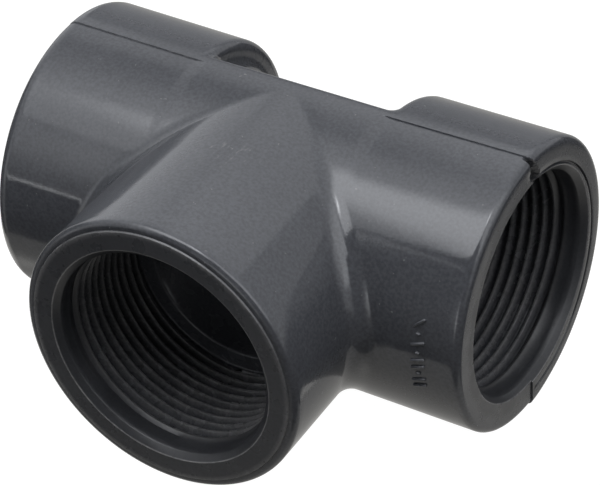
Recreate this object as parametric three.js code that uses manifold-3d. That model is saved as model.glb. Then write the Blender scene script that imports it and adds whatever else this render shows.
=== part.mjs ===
// Threaded PVC-U equal tee, 1 1/2 in parallel pipe thread (11 threads per inch).
//
// Frame (millimetres, +Z up): the origin is the centre of the fitting's bounding box.
// The run lies along X, through y = RUN_Y. The branch points along -Y, in the plane z = 0.
// The whole fitting is one injection moulding, so it is one solid. It is modelled with the
// crossing of the axes at the mesh's own origin, and the mesh is then moved to y = RUN_Y.

import * as THREE from 'three';
import { mergeVertices } from 'three/addons/utils/BufferGeometryUtils.js';
import Module from 'manifold-3d';

// ---- driving dimensions, mm (radii unless said otherwise; depths are from an end face) ----
const LEG = 52.7;             // crossing of the axes to each end face
const HUB_R = 30.4;           // outside at every mouth
const MIDDLE_R = 30.05;       // outside of run and branch near the crossing (mould draft)
const DRAFT_END = 22;         // distance from the crossing where the draft ends
const RUN_Y = (LEG - HUB_R) / 2;   // the run's axis, so that the box is centred on the origin
const BRANCH_TOP_Y = -0.5;    // inner end of the solid branch

const CORNER = 1.5;           // rounding of the run mouths' outer corners
const RING_R = 28.5;          // raised ring on the branch's end face
const RING_H = 0.33;          // its height

const MOUTH_R = 24.35;        // mouth of each socket, at the end face
const CHAMFER_R = 23.1;       // foot of the mouth chamfer
const CHAMFER_DEPTH = 1.25;
const MOUTH_OVERCUT = 2;      // how far a socket hollow reaches out past its end face
const LAND_R = 22.85;         // plain wall where the thread runs in and out
const THREAD_DEPTH = 2.9;     // where the thread starts to run in
const LAND_LENGTH = 0.6;      // plain wall before it
const PITCH = 25.4 / 11;      // 11 threads per inch
const ROOT_R = 47.803 / 2;    // major radius of the thread
const CREST_R = 44.845 / 2;   // minor radius of the thread
const TURNS = 10;             // turns of thread in each socket
const RUN_IN_TURNS = 1.1;     // over which the thread grows to full height
const RUN_OUT_TURNS = 0.5;    // over which it fades again
const SOCKET_DEPTH = 28.4;

const BORE_R = 19.25;         // plain waterway between the sockets
const BORE_END = LEG - 20;    // reach of the bore cut from the crossing, inside the sockets
const BRANCH_BORE_TOP_Y = 0.4;     // inner end of the branch's bore cut

const WAIST_R = 23.7;         // outside of the waist behind the run
const WAIST_X = 16.5;         // half length of the plain waist
const BACK_Y = 3.05;          // how far the full front half reaches behind the run's axis

const FILLET = 6.0;           // rolling-ball fillet in the valleys between run and branch
const FILLET_HALF_ANGLE = 83; // degrees round the run, either side of z = 0
const FILLET_SINK = 0.35;     // how far the strip's edges are sunk into the skins
const FILLET_ROOT = 7;        // how far the strip's buried edge lies behind the fillet

const OUTSIDE_FACETS = 48;
const THREAD_FACETS = 32;
const BORE_FACETS = 40;
const FILLET_STATIONS = 14;   // steps along the valley
const FILLET_ARC_STEPS = 5;   // steps across the fillet

// ---- tables --------------------------------------------------------------------------------
// Rounded corner of a run mouth, in shares of CORNER: [below HUB_R, depth].
const CORNER_POINTS = [[1, 0], [0.62, 0.08], [0.29, 0.29], [0.08, 0.62], [0, 1]];

// Shoulder between waist and hub, mm: [x beyond WAIST_X, radius beyond WAIST_R].
const SHOULDER_POINTS = [
  [0, 0], [2.0, 0.4], [3.5, 1.5], [4.0, 3.3],
  [4.5, 4.8], [5.6, 6.0], [7.2, 6.4], [8.4, 8],
];

// Upper front edge of the block that limits the waist cut, mm: [y, z].
const BLOCK_EDGE = [
  [0.2, 36], [0.5, MIDDLE_R], [1.4, MIDDLE_R - 0.7],
  [BACK_Y - 0.2, MIDDLE_R - 2.0], [BACK_Y, MIDDLE_R - 4],
];
const BLOCK_BACK = [[44, -36], [44, 36]];   // its back corners, clear of the run: [y, z]
const BLOCK_LENGTH = 80;                    // along X

// One pitch of thread: [offset along the axis, full radius]. The next pitch closes it.
const THREAD_PROFILE = [[0, CREST_R], [0.36 * PITCH, CREST_R], [0.68 * PITCH, ROOT_R]];

const wasm = await Module();
wasm.setup();

// ---- helpers -------------------------------------------------------------------------------
const vector = (x, y, z) => new THREE.Vector3(x, y, z);

function signedVolume(positions, triangles) {
  const corner = (i) => vector().fromArray(positions, 3 * triangles[i]);
  let sum = 0;
  for (let i = 0; i < triangles.length; i += 3) {
    sum += corner(i).dot(corner(i + 1).cross(corner(i + 2)));
  }
  return sum / 6;
}

// A solid from consistently wound triangles, turned right side out if need be.
function solidFromArrays(positions, triangles) {
  const vertProperties = new Float32Array(positions);
  const triVerts = new Uint32Array(triangles);
  if (signedVolume(vertProperties, triVerts) < 0) {
    for (let i = 0; i < triVerts.length; i += 3) {
      [triVerts[i], triVerts[i + 1]] = [triVerts[i + 1], triVerts[i]];
    }
  }
  return new wasm.Manifold(new wasm.Mesh({ numProp: 3, vertProperties, triVerts }));
}

// A solid from a three.js geometry: seams are welded and collapsed triangles dropped.
function solidFromGeometry(geometry) {
  geometry.deleteAttribute('normal');
  geometry.deleteAttribute('uv');
  const welded = mergeVertices(geometry, 1e-4);
  const triangles = [];
  for (let i = 0; i < welded.index.count; i += 3) {
    const corners = welded.index.array.slice(i, i + 3);
    if (new Set(corners).size === 3) triangles.push(...corners);
  }
  return solidFromArrays(welded.attributes.position.array, triangles);
}

// Turned geometry and solids from [radius, axial] points.
function lathe(points, facets) {
  return new THREE.LatheGeometry(points.map(([r, axial]) => new THREE.Vector2(r, axial)), facets);
}
const turnedAlongY = (points, facets) => solidFromGeometry(lathe(points, facets));
const turnedAlongX = (points, facets) =>
  solidFromGeometry(lathe(points, facets).rotateZ(-Math.PI / 2));

// Adds the triangles from `apex` to each step along `rim`.
function addFan(triangles, apex, rim) {
  for (let i = 0; i + 1 < rim.length; i++) triangles.push(apex, rim[i], rim[i + 1]);
}

// ---- outside -------------------------------------------------------------------------------
function makeRun() {
  const half = CORNER_POINTS.map(([below, depth]) => [HUB_R - below * CORNER, LEG - depth * CORNER]);
  half.unshift([0, LEG]);
  half.push([MIDDLE_R, DRAFT_END]);
  const profile = [...half.map(([r, x]) => [r, -x]), ...half.reverse()];
  return turnedAlongX(profile, OUTSIDE_FACETS);
}

function makeBranch() {
  const faceY = -LEG + RING_H;
  return turnedAlongY([
    [0, -LEG],
    [RING_R, -LEG],
    [RING_R + 0.06, faceY],
    [RING_R + 0.9, faceY + 0.1],
    [RING_R + 1.55, faceY + 0.5],
    [HUB_R, faceY + 1.25],
    [MIDDLE_R, -DRAFT_END],
    [MIDDLE_R, BRANCH_TOP_Y],
    [0, BRANCH_TOP_Y],
  ], OUTSIDE_FACETS);
}

// Behind the run's axis (+Y) the wall drops to a waist between the two hubs. The cut is a
// turned ring, kept only inside a block behind the axis.
function makeWaistCut() {
  const shoulder = SHOULDER_POINTS.map(([x, r]) => [WAIST_R + r, WAIST_X + x]);
  const loop = [...[...shoulder].reverse().map(([r, x]) => [r, -x]), ...shoulder];
  loop.push(loop[0]);
  const ring = turnedAlongX(loop, OUTSIDE_FACETS);

  const lowerEdge = [...BLOCK_EDGE].reverse().map(([y, z]) => [y, -z]);
  const outline = [...BLOCK_EDGE, ...lowerEdge, ...BLOCK_BACK];
  const shape = new THREE.Shape(outline.map(([y, z]) => new THREE.Vector2(y, z)));
  const block = new THREE.ExtrudeGeometry(shape, { depth: BLOCK_LENGTH, bevelEnabled: false });
  block.translate(0, 0, -BLOCK_LENGTH / 2);
  // The shape's own axes become y and z, and its normal becomes x.
  block.applyMatrix4(new THREE.Matrix4().set(
    0, 0, 1, 0,
    1, 0, 0, 0,
    0, 1, 0, 0,
    0, 0, 0, 1,
  ));
  return ring.intersect(solidFromGeometry(block));
}

// A ball of radius FILLET rolled along both skins has its centre on an ellipse; the fillet is
// the strip it leaves. `side` is 1 for the valley at +X and -1 for the one at -X.
function makeFillet(side) {
  const positions = [];
  const triangles = [];
  const centreR = MIDDLE_R + FILLET;   // ball centre to either axis
  for (let i = 0; i <= FILLET_STATIONS; i++) {
    const degrees = FILLET_HALF_ANGLE * (2 * i / FILLET_STATIONS - 1);
    const z = centreR * Math.sin(THREE.MathUtils.degToRad(degrees));
    const reach = Math.sqrt(centreR ** 2 - z * z);
    const toBranch = vector(-reach, 0, -z).normalize();
    const toRun = vector(0, reach, -z).normalize();
    const angle = toBranch.angleTo(toRun);
    // A point at radius r from the ball's centre; share 0 faces the branch, 1 the run.
    const addPoint = (share, r) => {
      const p = vector(reach, -reach, z)
        .addScaledVector(toBranch, r * Math.sin((1 - share) * angle) / Math.sin(angle))
        .addScaledVector(toRun, r * Math.sin(share * angle) / Math.sin(angle));
      positions.push(side * p.x, p.y, p.z);
    };
    addPoint(0, FILLET + FILLET_SINK);
    for (let j = 1; j < FILLET_ARC_STEPS; j++) addPoint(j / FILLET_ARC_STEPS, FILLET);
    addPoint(1, FILLET + FILLET_SINK);
    addPoint(0.5, FILLET + FILLET_ROOT);
  }

  const count = FILLET_ARC_STEPS + 2;   // points in each cross-section
  const section = (i) => Array.from({ length: count }, (_, j) => i * count + j);
  for (let i = 0; i < FILLET_STATIONS; i++) {
    const near = section(i);
    const far = section(i + 1);
    for (let j = 0; j < count; j++) {
      const next = (j + 1) % count;
      addFan(triangles, near[j], [near[next], far[next], far[j]]);
    }
  }
  addFan(triangles, 0, section(0).slice(1).reverse());
  const [lastApex, ...lastRim] = section(FILLET_STATIONS);
  addFan(triangles, lastApex, lastRim);
  return solidFromArrays(positions, triangles);
}

// ---- inside --------------------------------------------------------------------------------
// The hollow of one socket: chamfer, plain run-in, right-hand thread, flat bottom. Depth is
// measured along `inward` from the end face; the thread starts in direction `startDir`.
function makeSocketHollow(inward, startDir) {
  const face = inward.clone().multiplyScalar(-LEG);
  const sideDir = inward.clone().cross(startDir);
  const positions = [];
  const triangles = [];

  const addPoint = (depth, r, step) => {
    const angle = 2 * Math.PI * (step % THREAD_FACETS) / THREAD_FACETS;
    const p = face.clone()
      .addScaledVector(inward, depth)
      .addScaledVector(startDir, r * Math.cos(angle))
      .addScaledVector(sideDir, r * Math.sin(angle));
    positions.push(p.x, p.y, p.z);
    return positions.length / 3 - 1;
  };
  const addRing = (depth, r) =>
    Array.from({ length: THREAD_FACETS }, (_, step) => addPoint(depth, r, step));
  const addBand = (outer, inner) => {
    for (let i = 0; i < THREAD_FACETS; i++) {
      const next = (i + 1) % THREAD_FACETS;
      addFan(triangles, outer[i], [outer[next], inner[next], inner[i]]);
    }
  };

  // Outer cap, chamfer and plain wall.
  const overcutR = MOUTH_R + MOUTH_OVERCUT * (MOUTH_R - CHAMFER_R) / CHAMFER_DEPTH;
  const mouth = addRing(-MOUTH_OVERCUT, overcutR);
  const foot = addRing(CHAMFER_DEPTH, CHAMFER_R);
  const start = addRing(THREAD_DEPTH - LAND_LENGTH, LAND_R);
  addFan(triangles, addPoint(-MOUTH_OVERCUT, 0, 0), [...mouth, mouth[0]].reverse());
  addBand(mouth, foot);
  addBand(foot, start);

  // Thread vertices, by profile point and by step round the helix. The point after the last
  // is the first point of the next turn.
  const profileCount = THREAD_PROFILE.length;
  const steps = TURNS * THREAD_FACETS;
  const indices = new Map();
  const thread = (point, step) => {
    if (point === profileCount) return thread(0, step + THREAD_FACETS);
    const key = `${point},${step}`;
    if (!indices.has(key)) {
      const [offset, fullR] = THREAD_PROFILE[point];
      const runIn = step / (RUN_IN_TURNS * THREAD_FACETS);
      const runOut = (steps + THREAD_FACETS - step) / (RUN_OUT_TURNS * THREAD_FACETS);
      const growth = THREE.MathUtils.smoothstep(Math.min(runIn, runOut), 0, 1);
      const depth = THREAD_DEPTH + PITCH * step / THREAD_FACETS + offset;
      indices.set(key, addPoint(depth, LAND_R + (fullR - LAND_R) * growth, step));
    }
    return indices.get(key);
  };
  const threadSection = (step) =>
    Array.from({ length: profileCount + 1 }, (_, point) => thread(point, step));
  for (let i = 0; i < steps; i++) {
    for (let j = 0; j < profileCount; j++) {
      addFan(triangles, thread(j, i), [thread(j, i + 1), thread(j + 1, i + 1), thread(j + 1, i)]);
    }
  }

  // Run-in: plain ring up to the first turn's leading edge.
  const last = THREAD_FACETS - 1;
  for (let i = 0; i < last; i++) {
    addFan(triangles, start[i], [start[i + 1], thread(0, i + 1), thread(0, i)]);
  }
  addFan(triangles, thread(0, last), [start[last], start[0], ...threadSection(0)]);

  // Run-out: last turn's trailing edge down to the flat bottom.
  const bottom = addRing(SOCKET_DEPTH, LAND_R);
  const endSection = threadSection(steps).reverse();
  addFan(triangles, thread(0, steps + 1), [bottom[1], bottom[0], ...endSection]);
  for (let i = 1; i < THREAD_FACETS; i++) {
    const next = (i + 1) % THREAD_FACETS;
    addFan(triangles, thread(0, steps + i), [thread(0, steps + i + 1), bottom[next], bottom[i]]);
  }
  addFan(triangles, addPoint(SOCKET_DEPTH, 0, 0), [...bottom, bottom[0]]);
  return solidFromArrays(positions, triangles);
}

// Profile of a plain bore cut between two axial positions.
const boreProfile = (from, to) => [[0, from], [BORE_R, from], [BORE_R, to], [0, to]];

// ---- the moulding --------------------------------------------------------------------------
function makeBody() {
  const outside = makeRun()
    .subtract(makeWaistCut())
    .add(makeBranch())
    .add(makeFillet(1))
    .add(makeFillet(-1));
  const hollows = [
    makeSocketHollow(vector(-1, 0, 0), vector(0, -1, 0)),   // run, +X end
    makeSocketHollow(vector(1, 0, 0), vector(0, 1, 0)),     // run, -X end
    makeSocketHollow(vector(0, 1, 0), vector(0, 0, -1)),    // branch
    turnedAlongX(boreProfile(-BORE_END, BORE_END), BORE_FACETS),
    turnedAlongY(boreProfile(-BORE_END, BRANCH_BORE_TOP_Y), BORE_FACETS),
  ];
  return hollows.reduce((body, hollow) => body.subtract(hollow), outside);
}

function toGeometry(body) {
  const { vertProperties, triVerts } = body.getMesh();
  const geometry = new THREE.BufferGeometry();
  geometry.setAttribute('position', new THREE.Float32BufferAttribute(vertProperties, 3));
  geometry.setIndex(new THREE.Uint32BufferAttribute(triVerts, 1));
  geometry.computeVertexNormals();
  return geometry;
}

const darkGreyPvc = new THREE.MeshStandardMaterial({
  color: 0x3d3e42,
  roughness: 0.32,
  metalness: 0.0,
});

const tee = new THREE.Mesh(toGeometry(makeBody()), darkGreyPvc);
tee.name = 'tee_body';
tee.position.set(0, RUN_Y, 0);

const fitting = new THREE.Group();
fitting.add(tee);
export default fitting;
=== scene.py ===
"""Looks for the threaded PVC tee: one moulded body, remade as a fine mesh round the CAD solid.

Working frame, mm: the run lies along X (right is +X, left is -X), the branch points along -Y,
and their axes cross at the origin. Front is -Y, back is +Y, top is +Z. The finished mesh is
scaled to metres and moved along Y into the CAD frame.
"""
import math

import bmesh
import bpy
import numpy as np
from mathutils import Matrix, Vector

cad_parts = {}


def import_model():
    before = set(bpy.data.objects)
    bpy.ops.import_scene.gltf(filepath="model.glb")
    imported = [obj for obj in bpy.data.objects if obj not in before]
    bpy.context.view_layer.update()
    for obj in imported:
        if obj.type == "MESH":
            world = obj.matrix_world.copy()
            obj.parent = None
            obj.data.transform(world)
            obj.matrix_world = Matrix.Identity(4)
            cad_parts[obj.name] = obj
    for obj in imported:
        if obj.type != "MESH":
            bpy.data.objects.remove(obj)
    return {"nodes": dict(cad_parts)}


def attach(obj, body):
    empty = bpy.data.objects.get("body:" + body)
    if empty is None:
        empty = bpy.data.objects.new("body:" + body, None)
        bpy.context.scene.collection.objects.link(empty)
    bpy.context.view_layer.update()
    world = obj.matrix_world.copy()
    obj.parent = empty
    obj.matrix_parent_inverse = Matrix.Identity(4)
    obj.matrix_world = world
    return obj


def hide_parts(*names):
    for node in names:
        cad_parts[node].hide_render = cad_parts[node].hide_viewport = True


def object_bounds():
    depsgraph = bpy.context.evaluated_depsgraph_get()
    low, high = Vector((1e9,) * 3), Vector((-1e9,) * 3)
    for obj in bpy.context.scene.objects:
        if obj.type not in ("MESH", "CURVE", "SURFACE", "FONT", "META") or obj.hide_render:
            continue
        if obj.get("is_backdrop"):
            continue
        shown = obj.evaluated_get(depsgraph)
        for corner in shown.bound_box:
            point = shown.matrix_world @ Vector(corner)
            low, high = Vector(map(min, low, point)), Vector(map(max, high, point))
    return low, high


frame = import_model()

cad_lo, cad_hi = [Vector(v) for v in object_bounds()]

# ---- dimensions, mm. A name ending in _S is a depth from a mouth's end face -------------------
MM = 0.001                    # metres in one mm
LEG = cad_hi.x * 1000.0       # crossing to end face, the same for all three legs
HUB_R = cad_hi.z * 1000.0
RUN_Y = cad_lo.y * 1000.0 + LEG      # Y of the run's axis in the CAD frame

# outer skin
R_MID = 30.05                 # run and branch radius where they cross
TAPER_START = 22.0            # distance from the crossing where the hubs begin to widen
TAPER_END_S = 1.5
BACK_DRAFT = 0.28             # how much less the back of the right hub widens
WAIST_R, WAIST_RHO = 23.7, 3.0       # the narrow back between the hubs, its fillet to them
SHOULDER_X, SHOULDER_RHO = 20.7, 2.4
LEFT_SHOULDER_X, LEFT_SHOULDER_RHO = 20.2, 1.9
RIB_Y, RIB_RHO = 3.05, 1.5    # the rounded back edge of the full front half
RIB_FOOT_RHO = 1.5            # fillet between that edge and the waist
FILLET = 5.0                  # between run and branch
MISMATCH = 0.30               # how much lower the front half sits at the parting line
STEP_Y = 0.10                 # the step down to the front half spans Y from 0 to here
JOIN_S = 5.2                  # depth where the turned mouths meet the free-form skin
SKIN_END = LEG - JOIN_S

# mouths
MOUTH_R, CHAMFER_R, CHAMFER_S = 24.35, 23.1, 1.25
STEP_R, STEP_H = 28.5, 0.33   # the branch's raised end face
BRANCH_CORNER_S, BRANCH_CORNER_R = 1.25, 1.35      # its outer corner, along and across the axis
GROOVE = 0.45                 # depth of the groove on the back half of the run's faces
LAND_R, LAND_S = 22.95, 3.1   # the plain land before the thread
LAND_LEAD = 0.7               # from the last plain ring to the end of the land
COLUMNS = 192
COLUMN_STEP_R, COLUMN_WEDGE_R = 30.3, 30.0         # heights at which extra columns are placed
WEDGE_COLUMNS_Y = (-0.75, -0.5, 0.4, 0.7, 1.3, 1.65, 2.3, 2.6, 3.3, 3.6)

# thread and bore
PITCH, ROOT_R, CREST_R = 25.4 / 11, 23.90, 22.42
TURNS, FADE_IN, FADE_OUT = 10, 1.0, 0.6            # turns
PROFILE = [      # share of pitch, share of depth
    (-0.105, 0.0), (-0.045, -0.04), (0.045, -0.04), (0.105, 0.0),
    (0.39, 1.0), (0.455, 1.04), (0.545, 1.04), (0.61, 1.0)]
SOCKET_S, BORE_R = 28.4, 19.25
FLOOR_RHO = 0.5               # both edges of the socket's floor
CAVITY_X = 22.5               # where the turned bores meet the crossing
CAVITY_RHO = 0.7              # edge where the bores cross
BORE_GAP = 0.35               # from the last bore ring to the crossing's mesh

# raised strokes on the front of the right hub
STROKE_X, STROKE_WIDTH, STROKE_HEIGHT = 43.9, 0.66, 0.46
STROKES = [      # Z, length, slant in radians
    (8.2, 3.2, 0.7), (5.9, 1.1, 0.0), (3.8, 3.3, 0.35), (1.7, 1.1, 0.0), (0.0, 3.3, 0.35),
    (-1.7, 3.3, 0.35), (-3.3, 1.1, 0.0), (-5.0, 3.3, 0.35), (-6.6, 3.3, 0.35)]

SNAP = 2e-3                   # a vertex this near a cutting plane counts as on it
TURNED, SKIN, CAVITY = 0, 1, 2       # where a vertex comes from; the last two are field meshes


# ---- distance fields ---------------------------------------------------------------------------
def back_right(x, y):
    """1 on the back half of the right hub, which has a little less draft than the rest."""
    return np.clip((y - 2.0) / 6.0, 0, 1) * (x > 0)


def taper(distance, back=0.0):
    """Outer radius at a distance from the crossing. back: 1 where the shallower draft holds."""
    end = LEG - TAPER_END_S
    return (np.interp(distance, [0.0, TAPER_START, end], [R_MID, R_MID, HUB_R])
            - back * np.interp(distance, [TAPER_START, end], [0.0, BACK_DRAFT]))


def parting_drop(x, y, z):
    """How much lower the front half of a hub sits near the top and bottom parting lines."""
    angle = np.arctan2(-y, np.abs(z))
    near = np.exp(-(np.maximum(angle, 0.0) / 0.5) ** 2)
    return MISMATCH * (near * np.clip((np.abs(x) - 19.5) / 3.0, 0, 1))


def join_round(a, b, cosine, rho):
    """Union of two fields with a rolled fillet rho. cosine: dot product of their normals."""
    u, v = a - rho, b - rho
    s = np.maximum(1.0 - cosine * cosine, 1e-6)
    alpha, beta = (u - cosine * v) / s, (v - cosine * u) / s
    d = np.sqrt(np.maximum((u * u + v * v - 2 * cosine * u * v) / s, 0.0))
    return np.where((alpha < 0) & (beta < 0), rho - d, np.minimum(a, b))


def cut_round(a, b, rho):
    """Intersection of two fields with a rounded edge rho, and both distances past its centre."""
    u, v = np.maximum(rho + a, 0.0), np.maximum(rho + b, 0.0)
    return np.minimum(-rho, np.maximum(a, b)) + np.hypot(u, v), u, v


def add_branch(run, branch, x, y, z, rho):
    """Joins a field along -Y to one along X, with a fillet in front of the run's axis."""
    cosine = z * z / np.maximum(np.hypot(y, z) * np.hypot(x, z), 1e-6)
    joined = join_round(run, branch, np.clip(cosine, -1, 0.9999), rho)
    return np.where(y < 0, joined, np.minimum(run, np.maximum(branch, y)))


def skin(p, front):
    """Distance to the outer skin. front: the mesh in front of the parting plane."""
    x, y, z = p[..., 0], p[..., 1], p[..., 2]
    r = np.hypot(y, z)
    hub_r = taper(np.abs(x), back_right(x, y))
    if front:
        hub_r = hub_r - parting_drop(x, y, z)
    # between the hubs: the full front half, cut off behind the axis, round the waist
    body, u, v = cut_round(r - hub_r, y - RIB_Y, RIB_RHO)
    length = np.hypot(u, v) + 1e-9
    side = np.where(length > 1e-6, (u + v * y / np.maximum(r, 1e-6)) / length, 1.0)
    waist = r - WAIST_R
    core = join_round(body, waist, np.clip(side, -0.99, 0.9999), RIB_FOOT_RHO)
    side = np.where(body < waist, side, 1.0)
    # the hubs, with rounded shoulders
    left = x < 0
    shoulder_x = np.where(left, LEFT_SHOULDER_X, SHOULDER_X)
    shoulder_rho = np.where(left, LEFT_SHOULDER_RHO, SHOULDER_RHO)
    hub, u, v = cut_round(r - hub_r, shoulder_x - np.abs(x), shoulder_rho)
    length = np.hypot(u, v) + 1e-9
    cosine = np.where(length > 1e-6, u / length, 0.0) * side
    run = join_round(core, hub, np.clip(cosine, -0.99, 0.9999), WAIST_RHO)
    return add_branch(run, np.hypot(x, z) - taper(-y), x, y, z, FILLET)


def cavity(p):
    """Distance to the crossing bores."""
    x, y, z = p[..., 0], p[..., 1], p[..., 2]
    return add_branch(np.hypot(y, z) - BORE_R, np.hypot(x, z) - BORE_R, x, y, z, CAVITY_RHO)


def gradient(field, p):
    h = 0.02
    slope = np.empty_like(p)
    for k in range(3):
        offset = np.zeros(3)
        offset[k] = h
        slope[:, k] = (field(p + offset) - field(p - offset)) / (2 * h)
    return slope


def step_to(value, slope, limit):
    """Newton step from points with these field values and slopes onto the surface."""
    step = -value[:, None] * slope / np.maximum((slope * slope).sum(1), 0.05)[:, None]
    return np.clip(step, -limit, limit)


def surface_net(field, low, high, cell):
    """Dual mesh of field = 0: one vertex per crossed cell, then moved onto the surface."""
    axes = [low[k] + cell * np.arange(int(round((high[k] - low[k]) / cell)) + 1)
            for k in range(3)]
    value = field(np.stack(np.meshgrid(*axes, indexing="ij"), -1))
    inside = value < 0
    size = [len(axis) - 1 for axis in axes]
    # mean crossing of each cell's twelve edges
    total, hits = np.zeros((*size, 3)), np.zeros(size)
    for d in range(3):
        o1, o2 = [k for k in range(3) if k != d]
        for a, b in np.ndindex(2, 2):
            start = [slice(0, size[d])] * 3
            start[o1], start[o2] = slice(a, a + size[o1]), slice(b, b + size[o2])
            end = list(start)
            end[d] = slice(1, size[d] + 1)
            fa, fb = value[tuple(start)], value[tuple(end)]
            hit = (fa < 0) != (fb < 0)
            t = np.where(hit, fa / np.where(hit, fa - fb, 1.0), 0.0)
            total[..., d] += np.where(hit, t, 0.0)
            total[..., o1] += np.where(hit, a, 0.0)
            total[..., o2] += np.where(hit, b, 0.0)
            hits += hit
    live = hits > 0
    ids = -np.ones(live.shape, np.int64)
    ids[live] = np.arange(live.sum())
    points = np.array(low) + cell * (np.argwhere(live) + total[live] / hits[live][:, None])
    # a quad round every crossed grid edge, wound outwards
    quads = []
    for d in range(3):
        o1, o2 = (d + 1) % 3, (d + 2) % 3
        start = [slice(1, n) for n in size]
        end = list(start)
        start[d], end[d] = slice(0, size[d]), slice(1, size[d] + 1)
        a, b = inside[tuple(start)], inside[tuple(end)]
        for leaving in (True, False):
            edges = np.argwhere((a & ~b) if leaving else (~a & b))
            corners = []
            for i, j in ((0, 0), (1, 0), (1, 1), (0, 1)):
                at = edges.copy()
                at[:, o1] += i
                at[:, o2] += j
                corners.append(ids[at[:, 0], at[:, 1], at[:, 2]])
            quad = np.stack(corners, 1)
            quads.append(quad if leaving else quad[:, ::-1])
    for _ in range(4):
        points = points + step_to(field(points), gradient(field, points), 0.4 * cell)
    return points, np.concatenate(quads)


def clip_mesh(points, faces, end, score_y=()):
    """Cuts the three legs off at distance end and scores the mesh at each Y in score_y.
    Returns points, faces and the vertices on the open rims."""
    mesh = bpy.data.meshes.new("tmp")
    mesh.from_pydata(points.tolist(), [], faces.tolist())
    bm = bmesh.new()
    bm.from_mesh(mesh)
    bpy.data.meshes.remove(mesh)
    planes = [((end, 0, 0), (1, 0, 0), True), ((-end, 0, 0), (-1, 0, 0), True),
              ((0, -end, 0), (0, -1, 0), True)]
    planes += [((0, y, 0), (0, 1, 0), False) for y in score_y]
    for point, normal, clear in planes:
        bmesh.ops.bisect_plane(bm, geom=bm.verts[:] + bm.edges[:] + bm.faces[:], dist=SNAP,
                               plane_co=point, plane_no=normal,
                               clear_outer=clear, clear_inner=False)
    bm.verts.index_update()
    points = np.array([v.co for v in bm.verts])
    faces = [[v.index for v in f.verts] for f in bm.faces]
    rim = sorted({v.index for e in bm.edges if len(e.link_faces) == 1 for v in e.verts})
    bm.free()
    return points, faces, np.array(rim)


# ---- the growing mesh --------------------------------------------------------------------------
class Parts:
    """Collects vertices and faces. kind is TURNED, SKIN or CAVITY; core is how far a vertex lies
    on the matt surfaces left by the mould's cores, and also sets painted shade and light there;
    the wear value marks pale lines on edges and thread crests: partly wear, partly painted
    highlight."""
    def __init__(self):
        self.points, self.faces, self.count = [], [], 0
        self.kind, self.core, self.wear_and_glint = [], [], []

    def verts(self, points, kind=TURNED, core=0.0, wear_and_glint=0.0):
        points = np.asarray(points, float).reshape(-1, 3)
        ids = np.arange(self.count, self.count + len(points))
        self.count += len(points)
        self.points.append(points)
        self.kind.append(np.full(len(points), kind))
        self.core.append(np.zeros(len(points)) + core)
        self.wear_and_glint.append(np.zeros(len(points)) + wear_and_glint)
        return ids

    def face(self, *ids):
        self.faces.append([int(i) for i in ids])

    def bands(self, rings):
        """Quads between each ring and the next."""
        for a, b in zip(rings, rings[1:]):
            for i in range(len(a)):
                j = (i + 1) % len(a)
                self.face(a[i], a[j], b[j], b[i])

    def net(self, points, faces, rim, end, kind, core=0.0):
        """Adds a clipped mesh and returns the open rim of each leg."""
        ids = self.verts(points, kind, core)
        for face in faces:
            self.face(*ids[face])

        def rim_at(axis, place):
            return ids[rim[np.abs(points[rim, axis] - place) < SNAP]]
        return {"right": rim_at(0, end), "left": rim_at(0, -end), "branch": rim_at(1, -end)}

    def zipper(self, loop, loop_angle, ring, ring_angle, flip):
        """Joins two closed loops round one axis by a strip of triangles."""
        order = np.argsort(loop_angle)
        loop, a = loop[order], loop_angle[order]
        order = np.argsort(ring_angle)
        ring, b = ring[order], ring_angle[order]
        nearest = int(np.argmin(np.abs(b - a[0])))
        ring, b = np.roll(ring, -nearest), np.roll(b, -nearest)
        if nearest == 0:      # bring every angle within half a turn above the start
            b = np.where(b > a[0] + math.pi, b - 2 * math.pi, b)
        a, b = np.unwrap(a), np.unwrap(b)
        a, b = np.append(a, a[0] + 2 * math.pi), np.append(b, b[0] + 2 * math.pi)
        na, nb = len(loop), len(ring)
        i = j = 0
        while i < na or j < nb:
            if j >= nb or (i < na and a[i + 1] < b[j + 1]):
                triangle = (loop[i % na], loop[(i + 1) % na], ring[j % nb])
                i += 1
            else:
                triangle = (loop[i % na], ring[(j + 1) % nb], ring[j % nb])
                j += 1
            self.face(*(triangle[::-1] if flip else triangle))


parts = Parts()


def outer_skin():
    """The free-form outer skin, with a small step along the parting plane."""
    cell = 0.5
    reach = SKIN_END + 2 * cell
    points, quads = surface_net(lambda p: skin(p, False), (-reach, -reach, -31.2),
                                (reach, 31.3, 31.35), cell)
    points, faces, rim = clip_mesh(points, quads, SKIN_END, score_y=(0.0, STEP_Y))
    in_front = points[:, 1] <= STEP_Y * 0.5
    on_rim = np.zeros(len(points), bool)
    on_rim[rim] = True
    # settle each half on its own field, keeping rims and scored lines in their planes
    for _ in range(3):
        for side in (True, False):
            half = in_front == side
            p, rims = points[half], on_rim[half]
            slope = gradient(lambda q: skin(q, side), p)
            scored = (np.abs(p[:, 1]) < SNAP) | (np.abs(p[:, 1] - STEP_Y) < SNAP)
            slope[scored, 1] = 0
            slope[rims & (np.abs(np.abs(p[:, 0]) - SKIN_END) < SNAP), 0] = 0
            slope[rims & (np.abs(p[:, 1] + SKIN_END) < SNAP), 1] = 0
            points[half] += step_to(skin(p, side), slope, 0.2)
    return parts.net(points, faces, rim, SKIN_END, SKIN)


def bore_crossing():
    """The inside surface where the bores cross."""
    cell = 0.7
    reach = CAVITY_X + 2 * cell
    points, quads = surface_net(cavity, (-reach, -reach, -20.3), (reach, 20.35, 20.25), cell)
    points, faces, rim = clip_mesh(points, quads[:, ::-1], CAVITY_X)
    return parts.net(points, faces, rim, CAVITY_X, CAVITY, core=1.0)


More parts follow.
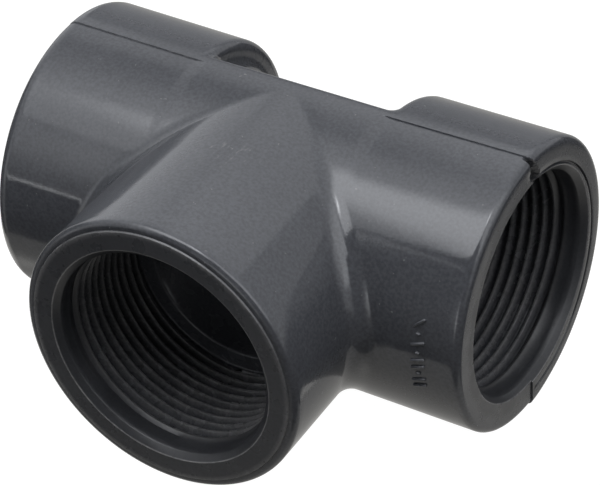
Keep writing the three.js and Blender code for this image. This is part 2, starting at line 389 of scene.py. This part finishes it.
# ---- turned mouths and helical threads -----------------------------------------------------------
class Columns:
    """The columns round one socket. Depth s runs inward from the end face, r out from the axis."""
    def __init__(self, name, face, inward, across):
        self.name, self.is_run = name, name != "branch"
        self.face, self.inward = np.array(face, float), np.array(inward, float)
        self.u = np.array(across, float)
        self.v = np.cross(self.inward, self.u)
        angle = np.linspace(0, 2 * math.pi, COLUMNS, endpoint=False)
        if self.is_run:      # extra columns just behind the parting plane
            extra = [(0, STEP_Y, COLUMN_STEP_R), (0, STEP_Y, -COLUMN_STEP_R)]
            if name == "right":      # and more round the missing wedge
                extra += [(0, y, COLUMN_WEDGE_R) for y in WEDGE_COLUMNS_Y]
            extra = self.angles(np.array(extra, float)) % (2 * math.pi)
            angle = np.sort(np.concatenate([angle, extra]))
        self.angle, self.count = angle, len(angle)
        self.outward = np.cos(angle)[:, None] * self.u + np.sin(angle)[:, None] * self.v
        y, z = self.outward[:, 1], self.outward[:, 2]
        self.front = y < 1e-4
        self.back_draft = back_right(30.0 if name == "right" else -30.0, y * 30)
        self.drop = np.zeros(self.count)
        if self.is_run:
            self.drop = np.where(self.front, parting_drop(40.0, y * 30, z * 30), 0.0)

    def angles(self, points):
        p = points - self.face
        return np.arctan2(p @ self.v, p @ self.u)

    def ring(self, s, r, core=1.0, wear_and_glint=0.0):
        s, r = np.broadcast_to(s, self.count), np.broadcast_to(r, self.count)
        points = self.face + s[:, None] * self.inward + r[:, None] * self.outward
        return parts.verts(points, TURNED, core, wear_and_glint)

    def hub_radius(self, s):
        return taper(LEG - s, self.back_draft) - self.drop

    def wedge(self, r):
        """Depth of the wedge missing from the top of the right mouth's face, where the two
        halves meet."""
        if self.name != "right":
            return 0.0
        y, z = r * self.outward[:, 1], r * self.outward[:, 2]
        first = np.interp(r, [24.4, 25.8], [0.9, -0.9])
        last = 0.35 + 0.52 * (30.0 - z)
        inside = np.clip((y - first) / 0.35, 0, 1) * np.clip((last - y) / 0.35, 0, 1) * (z > 15)
        return inside * np.interp(r, [24.3, 26.5, 28.5, 30.4], [1.8, 2.3, 1.9, 0.7])


def run_face(cols, setback, corner):
    """Rings round a run mouth's outer corner and across its face."""
    rho = np.where(cols.front, corner["front"], corner["back"])
    hub_r = cols.hub_radius(TAPER_END_S)
    rings = []
    for t in np.linspace(0, math.pi / 2, 9):
        r = hub_r - rho * (1 - math.cos(t))
        s = setback + cols.wedge(r) + rho * corner["depth_share"] * (1 - math.sin(t))
        rings.append(cols.ring(s, r, 0.25 * t))
    face_r = hub_r - rho
    # a shallow groove round the back half of the face, a little off centre
    theta = np.arctan2(cols.outward[:, 2], cols.outward[:, 1])
    groove_r = 25.55 - 0.75 * np.sin(theta) + 0.1 * np.cos(theta)
    groove = GROOVE * np.clip((cols.outward[:, 1] - 0.02) / 0.12, 0, 1)
    groove = groove * (1.0 if cols.name == "right" else 0.6)
    for share in (0.3, 0.65):
        r = face_r + (groove_r + 0.4 - face_r) * share
        rings.append(cols.ring(setback + cols.wedge(r), r, 0.5))
    # offset from the groove's middle, share of its depth
    for offset, depth in ((0.36, 0.0), (0.29, 0.04), (0.13, 1.0),
                          (-0.13, 1.0), (-0.29, 0.04), (-0.36, 0.0)):
        r = groove_r + offset
        rings.append(cols.ring(setback + cols.wedge(r) + groove * depth, r, 0.6))
    return rings


def branch_face(cols):
    """Rings round the branch mouth's corner and up a small step to its end face."""
    rings = []
    for t in np.linspace(0, math.pi / 2 * 0.86, 8):
        rings.append(cols.ring(STEP_H + BRANCH_CORNER_S * (1 - math.sin(t)),
                               HUB_R - BRANCH_CORNER_R * (1 - math.cos(t)), 0.25 * t))
    rings.append(cols.ring(STEP_H + 0.02, STEP_R + 0.16, 0.5))
    # the round at the step's edge: a pale line, partly wear and partly painted highlight
    for t in np.linspace(0, math.pi / 2, 4):
        rings.append(cols.ring(0.12 * (1 - math.sin(t)),
                               STEP_R + 0.02 - 0.12 * (1 - math.cos(t)), core=0.4, wear_and_glint=0.6))
    for share in (0.25, 0.5, 0.75):
        rings.append(cols.ring(0.0, STEP_R - 0.1 + (MOUTH_R + 0.2 - STEP_R) * share, 0.6))
    return rings


def mouth(cols, setback, corner):
    """Rings from the outer skin round the mouth to the land before the thread."""
    rings = [cols.ring(s, cols.hub_radius(s), 0.0) for s in (JOIN_S - 0.55, 3.9, 3.0)]
    rings += run_face(cols, setback, corner) if cols.is_run else branch_face(cols)
    face_s = setback + cols.wedge(MOUTH_R)
    slope = (MOUTH_R - CHAMFER_R) / CHAMFER_S
    lip = np.maximum(MOUTH_R - slope * face_s, CHAMFER_R - 0.1)
    # depth below the face, radius beyond the lip, core, wear; the pale lip line is partly wear,
    # partly a painted highlight
    for depth, beyond, core, wear_and_glint in ((0.0, 0.20, 0.6, 0.0), (0.0, 0.10, 0.3, 0.7),
                                      (0.04, 0.02, 0.3, 1.0), (0.12, -0.07, 0.3, 0.7),
                                      (0.22, -0.17, 0.8, 0.0)):
        rings.append(cols.ring(face_s + depth, lip + beyond, core, wear_and_glint))
    foot = np.maximum(CHAMFER_S, face_s + 0.35)
    rings.append(cols.ring(foot - 0.1, CHAMFER_R + 0.09, 0.8))
    rings.append(cols.ring(foot + 0.1, CHAMFER_R - 0.03, 0.8))
    rings.append(cols.ring(LAND_S - LAND_LEAD, LAND_R, 0.8))
    parts.bands(rings)
    return rings[0], rings[-1]


def smooth(t):
    t = np.clip(t, 0, 1)
    return t * t * (3 - 2 * t)


def thread(cols, land):
    """The right-handed thread, fading in from the land and out at the bottom.
    land: the ring it starts from. Returns the plain ring it ends at."""
    count, sides, last = cols.count, len(PROFILE), TURNS * cols.count
    turn_share = cols.angle / (2 * math.pi)
    index, points, cores, thread_glint = {}, [], [], []

    def corner(k, step):
        """Local index of profile corner k at a column step along the helix."""
        if k == sides and step + count <= last:      # the next turn's first corner
            k, step = 0, step + count
        if (k, step) not in index:
            turn = step // count + turn_share[step % count] + (1.0 if k == sides else 0.0)
            offset, depth = PROFILE[k % sides]
            fade = smooth(turn / FADE_IN) * smooth((TURNS + 1 - turn) / FADE_OUT)
            r = CREST_R + depth * (ROOT_R - CREST_R)
            r = LAND_R + (r - LAND_R) * fade
            s = LAND_S + PITCH * (turn + offset - PROFILE[0][0])
            index[k, step] = len(points)
            points.append(cols.face + s * cols.inward + r * cols.outward[step % count])
            cores.append(0.8 + 0.2 * min(max((s - LAND_S - 1.5) / 3.0, 0.0), 1.0))
            # painted highlight: pale colour along the thread crests
            thread_glint.append(0.45 * fade if depth <= 0 else 0.0)
        return index[k, step]

    quads = [(corner(k, i), corner(k, i + 1), corner(k + 1, i + 1), corner(k + 1, i))
             for i in range(last) for k in range(sides)]
    ids = parts.verts(np.array(points), TURNED, np.array(cores), np.array(thread_glint))
    for quad in quads:
        parts.face(*ids[list(quad)])
    first_turn = [ids[corner(0, i)] for i in range(count)]
    start_profile = [ids[corner(k, 0)] for k in range(sides + 1)]
    last_turn = [ids[corner(sides, last - count + i)] for i in range(1, count + 1)]
    end_profile = [ids[corner(k, last)] for k in range(sides + 1)]

    # plain land in front of the first flank
    share = (PROFILE[-1][0] * PITCH + LAND_LEAD) / (PITCH + LAND_LEAD)
    lead = cols.ring(LAND_S - LAND_LEAD + (LAND_LEAD + PITCH * turn_share) * share, LAND_R, 0.8)
    for i in range(count - 1):
        parts.face(land[i], land[i + 1], lead[i + 1], lead[i])
        parts.face(lead[i], lead[i + 1], first_turn[i + 1], first_turn[i])
    # close the start
    seam = [land[0], lead[0]] + start_profile
    parts.face(land[-1], land[0], lead[-1])
    for a, b in zip(seam[:-2], seam[1:-1]):
        parts.face(lead[-1], a, b)
    parts.face(lead[-1], seam[-2], first_turn[-1])
    parts.face(first_turn[-1], seam[-2], seam[-1])
    # close the end
    low = cols.ring(SOCKET_S - FLOOR_RHO, LAND_R)
    seam = end_profile + [low[0]]
    for a, b in zip(seam, seam[1:]):
        parts.face(last_turn[0], b, a)
    parts.face(last_turn[0], low[1], low[0])
    for i in range(1, count):
        parts.face(last_turn[i - 1], last_turn[i], low[(i + 1) % count], low[i])
    return low


def socket_floor(cols, low):
    """The flat bottom with small radii, then the plain bore. Returns the innermost ring."""
    rings = [low]
    for t in np.linspace(0.3, math.pi / 2, 4):
        rings.append(cols.ring(SOCKET_S - FLOOR_RHO + FLOOR_RHO * math.sin(t),
                               LAND_R - FLOOR_RHO * (1 - math.cos(t))))
    rings.append(cols.ring(SOCKET_S, (LAND_R + BORE_R) / 2))
    for t in np.linspace(0, math.pi / 2, 5):
        rings.append(cols.ring(SOCKET_S + FLOOR_RHO * (1 - math.cos(t)),
                               BORE_R + FLOOR_RHO - FLOOR_RHO * math.sin(t)))
    rings.append(cols.ring(LEG - CAVITY_X - BORE_GAP, BORE_R))
    parts.bands(rings)
    return rings[-1]


def socket(name, inward, across, setback=None, corner=None):
    """One socket, stitched to the outer skin and to the crossing of the bores.
    setback: which half of the face lies deeper, and how deep (mm) at which heights (-1 to 1).
    corner: outer corner radius in front and behind, and its depth as a share of that."""
    cols = Columns(name, [-LEG * c for c in inward], inward, across)
    depth = np.zeros(cols.count)
    if setback:
        deep = np.interp(cols.outward[:, 2], setback["height"], setback["depth"])
        depth = np.where(cols.front == setback["front"], deep, 0.0)
    outer, land = mouth(cols, depth, corner)
    inner = socket_floor(cols, thread(cols, land))
    points = np.concatenate(parts.points)
    for loop, ring, flip in ((skin_rims[name], outer, False), (cavity_rims[name], inner, True)):
        parts.zipper(loop, cols.angles(points[loop]), ring, cols.angles(points[ring]), flip)


# ---- raised strokes ----------------------------------------------------------------------------
def stroke(z, length, slant):
    """A raised stroke on the run's front, round-ended, sunk a little into the skin."""
    columns = 12
    rings = []
    # height over the skin, share of width
    for height, share in ((-0.5, 1.0), (0.05, 1.0), (0.5 * STROKE_HEIGHT, 0.93),
                          (0.8 * STROKE_HEIGHT, 0.72), (0.96 * STROKE_HEIGHT, 0.4),
                          (STROKE_HEIGHT, 0.12)):
        points = []
        for i in range(columns):
            t = 2 * math.pi * (i + 0.5) / columns
            end = (0.5 * length - 0.5 * STROKE_WIDTH) * (1 if math.cos(t) > 0 else -1)
            along = 0.5 * STROKE_WIDTH * share * math.cos(t) + end
            aside = 0.5 * STROKE_WIDTH * share * math.sin(t)
            dx = along * math.cos(slant) - aside * math.sin(slant)
            arc = along * math.sin(slant) + aside * math.cos(slant)
            r = taper(STROKE_X)
            angle = math.asin(z / r) + arc / r
            points.append((STROKE_X + dx, -(r + height) * math.cos(angle),
                           (r + height) * math.sin(angle)))
        rings.append(parts.verts(points))
    parts.bands(rings)
    parts.face(*rings[0][::-1])
    parts.face(*rings[-1])


# ---- one mesh ----------------------------------------------------------------------------------
def make_mesh():
    points = np.concatenate(parts.points) * MM
    points[:, 1] += RUN_Y * MM
    mesh = bpy.data.meshes.new("tee_body_fine")
    mesh.from_pydata(points.tolist(), [], parts.faces)
    mesh.validate(verbose=False)
    for name, values in (("core", parts.core), ("wear_and_glint", parts.wear_and_glint)):
        attribute = mesh.attributes.new(name, "FLOAT", "POINT")
        attribute.data.foreach_set("value", np.concatenate(values).astype(np.float32))
    bm = bmesh.new()
    bm.from_mesh(mesh)
    bmesh.ops.recalc_face_normals(bm, faces=bm.faces[:])
    if bm.calc_volume(signed=True) < 0:
        bmesh.ops.reverse_faces(bm, faces=bm.faces[:])
    bm.to_mesh(mesh)
    bm.free()
    mesh.polygons.foreach_set("use_smooth", np.ones(len(mesh.polygons), bool))
    mesh.set_sharp_from_angle(angle=math.radians(36))
    mesh.update()
    return mesh


def read_vectors(items, name):
    data = np.empty(len(items) * 3, np.float32)
    items.foreach_get(name, data)
    return data.reshape(-1, 3).astype(float)


def read_ints(items, name):
    data = np.empty(len(items), np.int64)
    items.foreach_get(name, data)
    return data


def set_normals(mesh):
    """Takes normals on the free-form surfaces from their fields; the parting step stays flat."""
    normals = read_vectors(mesh.corner_normals, "vector")
    face_normals = read_vectors(mesh.polygons, "normal")
    corner_vert = read_ints(mesh.loops, "vertex_index")
    sizes = read_ints(mesh.polygons, "loop_total")
    corner_face = np.repeat(np.arange(len(sizes)), sizes)
    points = read_vectors(mesh.vertices, "co") * 1000.0
    points[:, 1] -= RUN_Y
    centres = np.zeros((len(sizes), 3))
    np.add.at(centres, corner_face, points[corner_vert])
    centres /= sizes[:, None]

    kind = np.concatenate(parts.kind)
    slope = np.zeros_like(points)
    in_front = points[:, 1] <= STEP_Y * 0.5
    for side in (True, False):
        half = (kind == SKIN) & (in_front == side)
        slope[half] = gradient(lambda p: skin(p, side), points[half])
    inside = kind == CAVITY
    slope[inside] = -gradient(cavity, points[inside])
    slope /= np.maximum(np.linalg.norm(slope, axis=1), 1e-9)[:, None]

    in_step = (centres[:, 1] > 1e-4) & (centres[:, 1] < STEP_Y - 1e-4)
    in_step = (in_step & (np.abs(centres[:, 0]) > 19.0))[corner_face]
    corner_slope, corner_normal = slope[corner_vert], face_normals[corner_face]
    use = (kind[corner_vert] != TURNED) & ~in_step
    use &= (corner_slope * corner_normal).sum(1) > 0.7
    normals[use] = corner_slope[use]
    normals[in_step] = corner_normal[in_step]
    mesh.normals_split_custom_set(normals.tolist())


# ---- materials ---------------------------------------------------------------------------------
class Nodes:
    """Writes a node tree; every value is a node's output or a constant."""
    def __init__(self, owner):
        owner.use_nodes = True
        self.tree = owner.node_tree
        self.tree.nodes.clear()

    def node(self, kind, inputs=None, **settings):
        node = self.tree.nodes.new(kind)
        for key, value in settings.items():
            setattr(node, key, value)
        for key, value in (inputs or {}).items():
            if isinstance(value, bpy.types.NodeSocket):
                self.tree.links.new(value, node.inputs[key])
            else:
                node.inputs[key].default_value = value
        return node

    def op(self, kind, *args):
        return self.node("ShaderNodeMath", dict(enumerate(args)), operation=kind).outputs[0]

    def chain(self, kind, first, *rest):
        for value in rest:
            first = self.op(kind, first, value)
        return first

    def add(self, *values):
        return self.chain("ADD", *values)

    def mul(self, *values):
        return self.chain("MULTIPLY", *values)

    def sub(self, a, b):
        return self.op("SUBTRACT", a, b)

    def patch(self, *masks, level):
        """A patch of light or tone: the product of its masks, times its level."""
        return self.mul(*masks, level)

    def ramp(self, x, start, end, low=0.0, high=1.0):
        """Smooth step from low, where x is start, to high, where x is end."""
        return self.node("ShaderNodeMapRange", {
            "From Min": start, "From Max": end, "To Min": low, "To Max": high, "Value": x},
            interpolation_type="SMOOTHSTEP").outputs["Result"]

    def fall(self, x, start, end):
        return self.ramp(x, start, end, low=1.0, high=0.0)

    def bell(self, x, centre, width):
        """exp(-((x - centre) / width)^2)"""
        t = self.mul(self.sub(x, centre), 1.0 / width)
        return self.op("EXPONENT", self.mul(self.mul(t, t), -1.0))

    def mixed(self, factor, a, b):
        return self.node("ShaderNodeMixRGB", {0: factor, 1: a, 2: b}).outputs[0]

    def position(self):
        """Object coordinates in metres, whole and as x, y, z."""
        where = self.node("ShaderNodeTexCoord").outputs["Object"]
        return where, self.node("ShaderNodeSeparateXYZ", {0: where}).outputs


def pvc():
    """Dark grey PVC: glossy outside, matt where the cores were, with pale wear, painted highlights
    on edges and thread crests, and painted shade and light on the cored surfaces.
    """
    mat = bpy.data.materials.new("pvc_grey_moulded")
    m = Nodes(mat)
    where, (x, y, z) = m.position()
    core = m.node("ShaderNodeAttribute", attribute_name="core").outputs["Fac"]
    wear_and_glint = m.node("ShaderNodeAttribute", attribute_name="wear_and_glint").outputs["Fac"]

    def noise(scale, detail=3.0, rough=0.5, turn=None, stretch=None):
        vector = where
        if stretch:
            vector = m.node("ShaderNodeMapping", {
                "Rotation": turn, "Scale": stretch, "Vector": where}).outputs["Vector"]
        return m.node("ShaderNodeTexNoise", {
            "Scale": scale, "Detail": detail, "Roughness": rough,
            "Vector": vector}).outputs["Fac"]

    def brightened(colour, value):
        return m.node("ShaderNodeHueSaturation", {
            "Color": colour, "Value": value}).outputs["Color"]

    def bump(strength, distance, height, **normal):
        return m.node("ShaderNodeBump", {
            "Strength": strength, "Distance": distance, "Height": height,
            **normal}).outputs["Normal"]

    # colour: slow drift of the moulding and a fine grain
    dark, light, pale_grey = ((0.0440, 0.0455, 0.0505, 1), (0.0505, 0.0522, 0.0575, 1),
                              (0.150, 0.146, 0.142, 1))
    drift = m.mixed(m.ramp(noise(scale=45.0), 0.3, 0.7), dark, light)
    grain = m.ramp(noise(scale=1500.0, detail=2.0), 0.25, 0.75, low=-0.5, high=0.5)
    # a scuffed spot on top where the branch begins, rubbed streaks outside, specks, and pale
    # lines on edges and thread crests, partly wear and partly painted highlight
    scuff_at = m.mul(m.bell(x, centre=-0.0005, width=0.0055),
                     m.bell(y, centre=-0.0130, width=0.0035), m.ramp(z, 0.028, 0.0295))
    scratches = noise(scale=900.0, detail=4.0, rough=0.7, turn=(0, 0, 0.9),
                      stretch=(1.0, 0.3, 1.0))
    scuff = m.mul(scuff_at, m.ramp(scratches, 0.55, 0.66))
    streaks = noise(scale=900.0, detail=3.0, rough=0.7, turn=(0.3, 0, 0.5),
                    stretch=(1.0, 0.2, 1.0))
    rub = m.mul(m.ramp(noise(scale=95.0, detail=2.0), 0.60, 0.75), m.ramp(streaks, 0.64, 0.70))
    speck = m.ramp(noise(scale=1150.0, detail=1.0), 0.775, 0.80)
    # painted highlight: pale lines on edges and thread crests, broken up by noise, partly wear
    edges = m.mul(wear_and_glint, m.ramp(noise(scale=240.0), 0.35, 0.65, low=0.6, high=1.0))
    pale = m.add(m.patch(scuff, level=0.5), m.patch(rub, m.sub(1.0, core), level=0.25),
                 m.patch(speck, level=0.5), edges)
    pale = m.op("MINIMUM", pale, 1.0)
    colour = brightened(m.mixed(pale, drift, pale_grey), m.add(1.0, m.mul(grain, 0.34)))
    # painted shade and light: darker colour on the cored surfaces near the mouths, lighter
    # again deep in the bores where core nears 1
    colour = brightened(colour, m.mul(m.ramp(core, 0.2, 0.8, low=1.0, high=0.46),
                                      m.ramp(core, 0.85, 1.0, low=1.0, high=2.15)))
    # roughness, outside and on the cored surfaces
    outer = m.ramp(noise(scale=150.0, detail=5.0), 0.3, 0.7, low=0.060, high=0.095)
    outer = m.add(outer, m.mul(grain, 0.02), m.mul(pale, 0.25))
    inner = m.mul(m.ramp(noise(scale=260.0), 0.3, 0.7, low=0.38, high=0.48),
                  m.ramp(core, 0.85, 1.0, low=1.0, high=0.6))
    # a faint long-wave unevenness and the fine grain; distances in metres
    uneven = bump(strength=0.35, distance=0.00006, height=noise(scale=190.0, detail=2.0))
    surface = bump(strength=0.18, distance=0.00005, height=noise(scale=2300.0, detail=2.0),
                   Normal=uneven)
    shader = m.node("ShaderNodeBsdfPrincipled", {
        "Base Color": colour,
        "Specular IOR Level": m.sub(0.5, m.mul(core, 0.15)),
        "Roughness": m.add(m.mul(outer, m.sub(1.0, core)), m.mul(inner, core)),
        "Normal": surface,
        "IOR": 1.53})
    m.node("ShaderNodeOutputMaterial", {"Surface": shader.outputs["BSDF"]})
    return mat


# ---- stage: pale floor, soft light tent, camera; metres ------------------------------------------
CAMERA_AZ, CAMERA_EL, CAMERA_ROLL = 32.11701, 37.13376, -2.91638    # degrees
CAMERA_DISTANCE, CAMERA_RIGHT, CAMERA_UP = 694.18441, 0.291226, -6.2640375    # mm, from run axis
SENSOR_WIDTH, LENS = 36.0, 207.69576      # mm
FLOOR_R, FLOOR_SIDES, FLOOR_GAP = 3.0, 64, 0.0002
TENT_X, TENT_Y, TENT_Z = (-0.40, 0.40), (-0.30, 0.50), (-0.35, 0.35)


def stage_object(name, bm, mat):
    mesh = bpy.data.meshes.new(name)
    bm.to_mesh(mesh)
    bm.free()
    mesh.materials.append(mat)
    ob = bpy.data.objects.new(name, mesh)
    bpy.context.scene.collection.objects.link(ob)
    return ob


def floor_material():
    """White to the camera, dull grey to the light, and clear from below."""
    mat = bpy.data.materials.new("floor_white")
    m = Nodes(mat)
    dull = m.node("ShaderNodeBsdfDiffuse", {"Color": (0.10, 0.099, 0.098, 1)}).outputs[0]
    glow = m.node("ShaderNodeEmission", {"Color": (1, 1, 1, 1), "Strength": 1.0}).outputs[0]
    seen = m.node("ShaderNodeAddShader", {0: dull, 1: glow}).outputs[0]
    camera_ray = m.node("ShaderNodeLightPath").outputs["Is Camera Ray"]
    above = m.node("ShaderNodeMixShader", {0: camera_ray, 1: dull, 2: seen}).outputs[0]
    underside = m.node("ShaderNodeNewGeometry").outputs["Backfacing"]
    clear = m.node("ShaderNodeBsdfTransparent").outputs[0]
    both = m.node("ShaderNodeMixShader", {0: underside, 1: above, 2: clear}).outputs[0]
    m.node("ShaderNodeOutputMaterial", {"Surface": both})
    return mat


def floor():
    z = cad_lo.z - FLOOR_GAP
    bm = bmesh.new()
    centre = bm.verts.new((0, 0, z))
    turns = [2 * math.pi * i / FLOOR_SIDES for i in range(FLOOR_SIDES)]
    ring = [bm.verts.new((FLOOR_R * math.cos(t), FLOOR_R * math.sin(t), z)) for t in turns]
    for i in range(FLOOR_SIDES):
        bm.faces.new((centre, ring[i], ring[(i + 1) % FLOOR_SIDES]))
    ob = stage_object("floor", bm, floor_material())
    ob.visible_glossy = False
    ob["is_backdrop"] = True


# Brightness of each side of the tent. x is to the camera's right, y away from it, z up; the
# numbers after a coordinate are where a ramp starts and ends, or a bell's centre and width.
def tent_top(m, x, y):
    """An even ceiling, a bright box with a soft surround, lamps, and an opening cut in front."""
    # the box lies askew to the tent
    u = m.sub(m.mul(x, 0.958), m.mul(y, 0.287))
    v = m.add(m.mul(x, 0.287), m.mul(y, 0.958))
    box = m.patch(m.ramp(u, -0.266, -0.178), m.fall(u, 0.042, 0.078),
                  m.fall(v, -0.056, 0.008), level=2.2)
    halo = m.patch(m.bell(x, -0.17, 0.25), m.bell(v, -0.08, 0.14), level=1.45)
    opening = m.patch(m.fall(y, -0.218, -0.188), m.ramp(x, -0.41, -0.35),
                      m.fall(x, 0.015, 0.075), level=0.97)
    right = m.patch(m.ramp(x, 0.03, 0.10), m.fall(y, -0.10, 0.02), level=1.3)
    back = m.patch(m.ramp(x, -0.06, 0.06), m.ramp(y, 0.05, 0.2), level=0.30)
    dip = m.patch(m.bell(x, -0.08, 0.06), m.ramp(y, 0.10, 0.20), m.fall(y, 0.28, 0.38),
                  level=-0.45)
    lamps = m.add(m.patch(m.bell(x, -0.005, 0.024), m.bell(y, -0.085, 0.024), level=9.0),
                  m.patch(m.bell(x, -0.36, 0.07), m.bell(y, -0.13, 0.07), level=0.7))
    return m.mul(m.add(1.0, box, halo, lamps, right, back, dip), m.sub(1.0, opening))


def tent_left(m, y, z):
    """Dark low down towards the front, a brighter strip above, a thin bright line at mid height."""
    low_front = m.mul(m.fall(y, -0.14, -0.09), m.fall(z, -0.012, 0.012))
    wall = m.mul(m.ramp(z, -0.10, -0.03, low=0.40, high=0.95), m.sub(1.0, low_front))
    strip = m.patch(m.bell(y, -0.18, 0.06), m.ramp(z, 0.03, 0.16), level=0.45)
    near = m.mul(m.fall(y, -0.11, -0.04), m.ramp(z, 0.0, 0.28, low=0.62, high=0.0))
    far = m.mul(m.ramp(y, 0.0, 0.08), m.ramp(z, 0.10, 0.22, low=0.85, high=0.0))
    wall = m.mul(m.add(wall, strip), m.sub(1.0, near), m.sub(1.0, far),
                 m.ramp(y, -0.262, -0.232))
    line = m.patch(m.fall(y, -0.14, -0.09), m.bell(z, 0.002, 0.004), level=5.0)
    return m.add(wall, 0.02, line)


def tent_right(m, y, z):
    """Dark low down, with a lit foot towards the back and more light high in front."""
    foot = m.mul(m.ramp(z, -0.31, -0.26, low=0.80, high=0.0), m.ramp(y, 0.02, 0.12))
    high = m.patch(m.ramp(z, 0.12, 0.25), m.fall(y, -0.10, 0.0), level=0.9)
    return m.add(m.ramp(z, -0.03, 0.03, low=0.06, high=0.75), foot, high)


def tent_front(m, x, z):
    """Nearly dark, with a soft spot on the left and a lit right end."""
    spot = m.patch(m.bell(x, -0.19, 0.08), m.bell(z, 0.02, 0.07), level=1.8)
    end = m.mul(m.ramp(x, 0.12, 0.20), m.add(m.ramp(z, -0.05, 0.05, low=0.0, high=0.6),
                                             m.ramp(z, 0.12, 0.22, low=0.0, high=1.8)))
    return m.add(0.10, spot, end)


def tent_back(m, x, z):
    """Even, brighter on the left and high on the right."""
    left = m.patch(m.fall(x, -0.06, -0.02), m.ramp(z, -0.05, 0.08), level=0.65)
    high = m.patch(m.ramp(x, -0.06, -0.02), m.ramp(z, 0.22, 0.34), level=0.5)
    return m.add(0.45, left, high)


def tent_below(m, x, y):
    """Even, brighter towards the front middle and at the back left."""
    middle = m.patch(m.bell(x, 0.0, 0.10), m.bell(y, -0.12, 0.10), level=0.25)
    left = m.patch(m.fall(x, -0.25, -0.18), m.ramp(y, 0.0, 0.1), level=0.5)
    return m.add(0.48, middle, left)


def tent_material():
    mat = bpy.data.materials.new("tent_light")
    m = Nodes(mat)
    _, (x, y, z) = m.position()
    light = tent_left(m, y, z)
    # each further wall takes over within a few mm of its plane
    for wall, here in ((tent_right(m, y, z), m.ramp(x, 0.395, 0.399)),
                       (tent_back(m, x, z), m.ramp(y, 0.495, 0.499)),
                       (tent_front(m, x, z), m.fall(y, -0.297, -0.293)),
                       (tent_below(m, x, y), m.fall(z, -0.349, -0.345)),
                       (tent_top(m, x, y), m.ramp(z, 0.345, 0.349))):
        light = m.add(m.mul(light, m.sub(1.0, here)), m.mul(wall, here))
    warm, cool = (1.0, 0.985, 0.95, 1), (0.970, 0.990, 1.03, 1)      # below, above
    tint = m.mixed(m.ramp(z, -0.2, 0.1), warm, cool)
    glow = m.node("ShaderNodeEmission", {"Strength": light, "Color": tint}).outputs[0]
    m.node("ShaderNodeOutputMaterial", {"Surface": glow})
    return mat


def tent():
    """A box of soft light round the fitting, square to the camera."""
    bm = bmesh.new()
    corners = [bm.verts.new((x, y, z)) for x in TENT_X for y in TENT_Y for z in TENT_Z]
    for face in ((0, 1, 3, 2), (4, 6, 7, 5), (0, 4, 5, 1),
                 (2, 3, 7, 6), (0, 2, 6, 4), (1, 5, 7, 3)):
        bm.faces.new([corners[i] for i in face])
    ob = stage_object("light_tent", bm, tent_material())
    ob.rotation_euler[2] = math.radians(CAMERA_AZ)
    ob.visible_camera = False
    ob.visible_shadow = False
    ob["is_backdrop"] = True


def world():
    """White to the camera and no light of its own: the tent lights the fitting."""
    studio = bpy.data.worlds.new("studio")
    bpy.context.scene.world = studio
    m = Nodes(studio)
    camera_ray = m.node("ShaderNodeLightPath").outputs["Is Camera Ray"]
    background = m.node("ShaderNodeBackground", {"Color": (1, 1, 1, 1), "Strength": camera_ray})
    m.node("ShaderNodeOutputWorld", {"Surface": background.outputs[0]})


def camera():
    az, el, roll = [math.radians(t) for t in (CAMERA_AZ, CAMERA_EL, CAMERA_ROLL)]
    back = Vector((math.sin(az) * math.cos(el), -math.cos(az) * math.cos(el), math.sin(el)))
    level = Vector((math.cos(az), math.sin(az), 0))
    upright = back.cross(level)
    right = level * math.cos(roll) + upright * math.sin(roll)
    up = -level * math.sin(roll) + upright * math.cos(roll)
    place = (back * CAMERA_DISTANCE + right * CAMERA_RIGHT + up * CAMERA_UP) * MM
    place += Vector((0, RUN_Y * MM, 0))
    cam = bpy.data.cameras.new("camera")
    ob = bpy.data.objects.new("camera", cam)
    bpy.context.scene.collection.objects.link(ob)
    rows = [(right[k], up[k], back[k], place[k]) for k in range(3)]
    ob.matrix_world = Matrix((*rows, (0, 0, 0, 1)))
    cam.sensor_width, cam.lens = SENSOR_WIDTH, LENS
    cam.clip_start, cam.clip_end = 0.05, 20.0
    bpy.context.scene.camera = ob


# ---- build -------------------------------------------------------------------------------------
skin_rims = outer_skin()
cavity_rims = bore_crossing()
socket("right", inward=(-1, 0, 0), across=(0, -1, 0),
       setback=dict(front=True, height=[-1, -0.5, 1], depth=[0.3, 0.08, 0.0]),
       corner=dict(front=1.5, back=1.7, depth_share=1.0))
socket("left", inward=(1, 0, 0), across=(0, 1, 0),
       setback=dict(front=False, height=[-1, 1], depth=[0.1, 0.35]),
       corner=dict(front=2.2, back=1.9, depth_share=1.2))
socket("branch", inward=(0, 1, 0), across=(0, 0, -1))
for stroke_z, stroke_length, stroke_slant in STROKES:
    stroke(stroke_z, stroke_length, stroke_slant)

tee_mesh = make_mesh()
set_normals(tee_mesh)
tee = bpy.data.objects.new("tee_body_fine", tee_mesh)
bpy.context.scene.collection.objects.link(tee)
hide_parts("tee_body")
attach(tee, "root")

grey = pvc()
tee_mesh.materials.append(grey)
for material_slot in frame["nodes"]["tee_body"].material_slots:
    material_slot.material = grey

floor()
tent()
world()
camera()
bpy.context.scene.view_settings.view_transform = "Standard"
bpy.context.scene.view_settings.look = "None"

new_lo, new_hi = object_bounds()
{"cad": [list(cad_lo), list(cad_hi)], "visual": [list(new_lo), list(new_hi)]}
